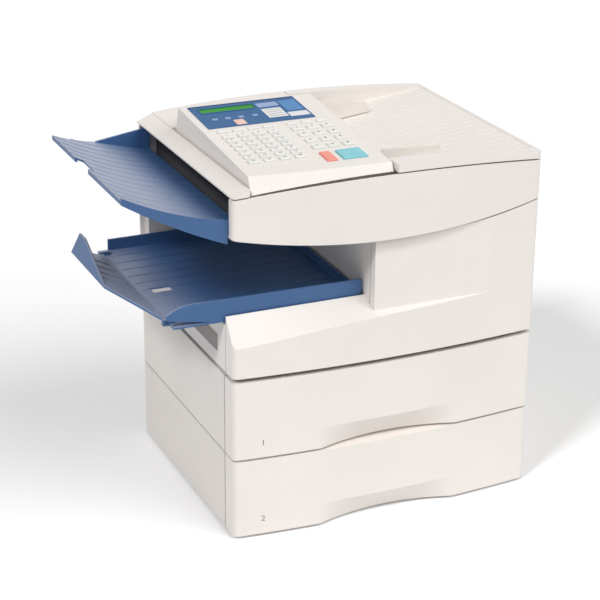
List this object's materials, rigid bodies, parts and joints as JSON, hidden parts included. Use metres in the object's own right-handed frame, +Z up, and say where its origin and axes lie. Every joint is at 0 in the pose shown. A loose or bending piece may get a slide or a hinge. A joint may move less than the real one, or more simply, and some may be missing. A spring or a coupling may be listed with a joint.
{
  "type": "laser fax machine",
  "caption": "Desktop laser fax with a sloping key panel, document feeder, side trays and stacked paper drawers under a bowed front.",
  "frame": {"origin": "on the floor, under the middle of the body's footprint, trays and front bow left out", "axes": "+X to the machine's right, +Y to its back, +Z up"},
  "size_m": [0.552, 0.352, 0.4991],
  "materials": {
    "body_plastic": "fine moulded texture",
    "guide_plastic": "fine moulded texture",
    "inner_plastic": "matt",
    "guide_blue": "matt",
    "tray_blue": "satin moulded",
    "sheet_steel": "zinc plated",
    "bright_steel": "ground",
    "roller_rubber": "matt",
    "drum_coating": "smooth coating",
    "heat_coating": "smooth coating",
    "circuit_board": "solder resist",
    "display_blue": "printed overlay",
    "display_green": "display window",
    "key_white": "satin",
    "key_stop": "satin",
    "key_start": "satin"
  },
  "bodies": {
    "body": {"lower_unit_housing": "body_plastic", "upper_unit_housing": "body_plastic", "rubber_feet": "roller_rubber", "engine_base": "sheet_steel", "front_frame": "sheet_steel", "rear_frame": "sheet_steel", "left_cover": "body_plastic", "rear_cover": "body_plastic", "output_deck": "body_plastic", "hinge_pins": "bright_steel", "toner_cartridge": "inner_plastic", "laser_unit": "inner_plastic", "drive_motor": "bright_steel", "power_supply": "circuit_board", "main_board": "circuit_board", "fan_housing": "inner_plastic", "power_inlet": "inner_plastic", "phone_sockets": "inner_plastic", "print_tray": "tray_blue", "scanner_base": "body_plastic", "scanner_front_panel": "body_plastic", "document_table": "body_plastic", "left_top_cover": "body_plastic", "image_sensor": "inner_plastic", "document_exit_guide": "inner_plastic", "original_tray": "tray_blue"},
    "lower_cassette": {"lower_drawer": "inner_plastic", "lower_drawer_front": "body_plastic"},
    "upper_cassette": {"upper_drawer": "inner_plastic", "upper_drawer_front": "body_plastic"},
    "panel": {"operation_panel": "body_plastic", "key_board": "circuit_board", "display_plate": "display_blue", "display_window": "display_green"},
    "dial_keys": {"dial_keys": "key_white"},
    "document_exit_roller": {"document_exit_roller": "roller_rubber"},
    "document_feed_roller": {"document_feed_roller": "roller_rubber"},
    "exit_roller": {"exit_roller": "roller_rubber"},
    "fan_rotor": {"fan_rotor": "inner_plastic"},
    "front_cover": {"front_cover": "body_plastic"},
    "front_document_guide": {"front_document_guide": "guide_plastic"},
    "function_keys": {"function_keys": "key_white"},
    "heat_roller": {"heat_roller": "heat_coating"},
    "lower_length_guide": {"lower_length_guide": "guide_blue"},
    "lower_lift_plate": {"lower_lift_plate": "sheet_steel"},
    "lower_pickup_roller": {"lower_pickup_roller": "roller_rubber"},
    "motor_pinion": {"motor_pinion": "bright_steel"},
    "photoconductor_drum": {"photoconductor_drum": "drum_coating"},
    "power_switch": {"power_switch": "inner_plastic"},
    "pressure_roller": {"pressure_roller": "roller_rubber"},
    "print_tray_end": {"print_tray_end": "tray_blue"},
    "rear_document_guide": {"rear_document_guide": "guide_plastic"},
    "right_cover": {"right_cover": "body_plastic"},
    "speed_keys": {"speed_keys": "key_white"},
    "start_key": {"start_key": "key_start"},
    "stop_key": {"stop_key": "key_stop"},
    "transfer_roller": {"transfer_roller": "roller_rubber"},
    "upper_length_guide": {"upper_length_guide": "guide_blue"},
    "upper_lift_plate": {"upper_lift_plate": "sheet_steel"},
    "upper_pickup_roller": {"upper_pickup_roller": "roller_rubber"}
  },
  "joints": [
    {"name": "lower_drawer_slide", "type": "slide", "parent": "body", "child": "lower_cassette", "axis": [0, -1, 0], "range_m": [0, 0.24]},
    {"name": "lower_lift", "type": "hinge", "parent": "lower_cassette", "child": "lower_lift_plate", "pos_m": [-0.0765, 0, 0.01655], "axis": [0, -1, 0], "range_deg": [0, 14]},
    {"name": "lower_length_set", "type": "slide", "parent": "lower_cassette", "child": "lower_length_guide", "axis": [1, 0, 0], "range_m": [-0.05, 0.03]},
    {"name": "lower_pickup_spin", "type": "hinge", "parent": "body", "child": "lower_pickup_roller", "pos_m": [0.12, 0, 0.094], "axis": [0, 1, 0], "continuous": true},
    {"name": "upper_drawer_slide", "type": "slide", "parent": "body", "child": "upper_cassette", "axis": [0, -1, 0], "range_m": [0, 0.24]},
    {"name": "upper_lift", "type": "hinge", "parent": "upper_cassette", "child": "upper_lift_plate", "pos_m": [-0.0765, 0, 0.12455], "axis": [0, -1, 0], "range_deg": [0, 14]},
    {"name": "upper_length_set", "type": "slide", "parent": "upper_cassette", "child": "upper_length_guide", "axis": [1, 0, 0], "range_m": [-0.05, 0.03]},
    {"name": "upper_pickup_spin", "type": "hinge", "parent": "body", "child": "upper_pickup_roller", "pos_m": [0.12, 0, 0.202], "axis": [0, 1, 0], "continuous": true},
    {"name": "front_cover_hinge", "type": "hinge", "parent": "body", "child": "front_cover", "pos_m": [0, -0.173, 0.229], "axis": [1, 0, 0], "range_deg": [0, 80]},
    {"name": "right_cover_hinge", "type": "hinge", "parent": "body", "child": "right_cover", "pos_m": [0.2055, 0, 0.227], "axis": [0, 1, 0], "range_deg": [0, 80]},
    {"name": "drum_spin", "type": "hinge", "parent": "body", "child": "photoconductor_drum", "pos_m": [0.105, 0, 0.3], "axis": [0, 1, 0], "continuous": true},
    {"name": "pinion_spin", "type": "hinge", "parent": "body", "child": "motor_pinion", "pos_m": [0.105, 0, 0.338], "axis": [0, 1, 0], "continuous": true},
    {"name": "heat_spin", "type": "hinge", "parent": "body", "child": "heat_roller", "pos_m": [0.105, 0, 0.37], "axis": [0, 1, 0], "continuous": true},
    {"name": "transfer_spin", "type": "hinge", "parent": "body", "child": "transfer_roller", "pos_m": [0.1283, 0, 0.3], "axis": [0, 1, 0], "continuous": true},
    {"name": "pressure_spin", "type": "hinge", "parent": "body", "child": "pressure_roller", "pos_m": [0.1293, 0, 0.37], "axis": [0, 1, 0], "continuous": true},
    {"name": "exit_spin", "type": "hinge", "parent": "body", "child": "exit_roller", "pos_m": [-0.006, 0, 0.358], "axis": [0, 1, 0], "continuous": true},
    {"name": "fan_spin", "type": "hinge", "parent": "body", "child": "fan_rotor", "pos_m": [-0.032, 0, 0.256], "axis": [0, 1, 0], "continuous": true},
    {"name": "switch_rock", "type": "hinge", "parent": "body", "child": "power_switch", "pos_m": [-0.1235, 0.165, 0.2585], "axis": [1, 0, 0], "range_deg": [-14, 0]},
    {"name": "tray_end_fold", "type": "hinge", "parent": "body", "child": "print_tray_end", "pos_m": [-0.28, 0, 0.294], "axis": [0, 1, 0], "range_deg": [-27, 54]},
    {"name": "rear_guide_slide", "type": "slide", "parent": "body", "child": "rear_document_guide", "axis": [0, 1, 0], "range_m": [-0.031, 0.003]},
    {"name": "front_guide_slide", "type": "slide", "parent": "body", "child": "front_document_guide", "axis": [0, -1, 0], "range_m": [-0.031, 0.003]},
    {"name": "document_feed_spin", "type": "hinge", "parent": "body", "child": "document_feed_roller", "pos_m": [-0.03, 0, 0.429], "axis": [0, 1, 0], "continuous": true},
    {"name": "document_exit_spin", "type": "hinge", "parent": "body", "child": "document_exit_roller", "pos_m": [-0.162, 0, 0.424], "axis": [0, 1, 0], "continuous": true},
    {"name": "panel_hinge", "type": "hinge", "parent": "body", "child": "panel", "pos_m": [-0.09, 0.08, 0.462], "axis": [-1, 0, 0], "range_deg": [0, 35]},
    {"name": "speed_keys_press", "type": "slide", "parent": "panel", "child": "speed_keys", "axis": [0, 0.0872, -0.9962], "range_m": [0, 0.001], "stiffness_N_per_m": 1500, "springref_m": -0.001},
    {"name": "dial_keys_press", "type": "slide", "parent": "panel", "child": "dial_keys", "axis": [0, 0.0872, -0.9962], "range_m": [0, 0.001], "stiffness_N_per_m": 800, "springref_m": -0.001},
    {"name": "function_keys_press", "type": "slide", "parent": "panel", "child": "function_keys", "axis": [0, 0.0872, -0.9962], "range_m": [0, 0.001], "stiffness_N_per_m": 500, "springref_m": -0.001},
    {"name": "stop_key_press", "type": "slide", "parent": "panel", "child": "stop_key", "axis": [0, 0.0872, -0.9962], "range_m": [0, 0.001], "stiffness_N_per_m": 400, "springref_m": -0.001},
    {"name": "start_key_press", "type": "slide", "parent": "panel", "child": "start_key", "axis": [0, 0.0872, -0.9962], "range_m": [0, 0.001], "stiffness_N_per_m": 500, "springref_m": -0.001}
  ],
  "couplings": [
    {"joint": "pinion_spin", "follows": "drum_spin", "ratio": -3.75},
    {"joint": "heat_spin", "follows": "drum_spin", "ratio": 1.25},
    {"joint": "transfer_spin", "follows": "drum_spin", "ratio": -1.875},
    {"joint": "pressure_spin", "follows": "drum_spin", "ratio": -1.25},
    {"joint": "exit_spin", "follows": "drum_spin", "ratio": 1.875},
    {"joint": "front_guide_slide", "follows": "rear_guide_slide", "ratio": 1},
    {"joint": "document_exit_spin", "follows": "document_feed_spin", "ratio": 1}
  ]
}
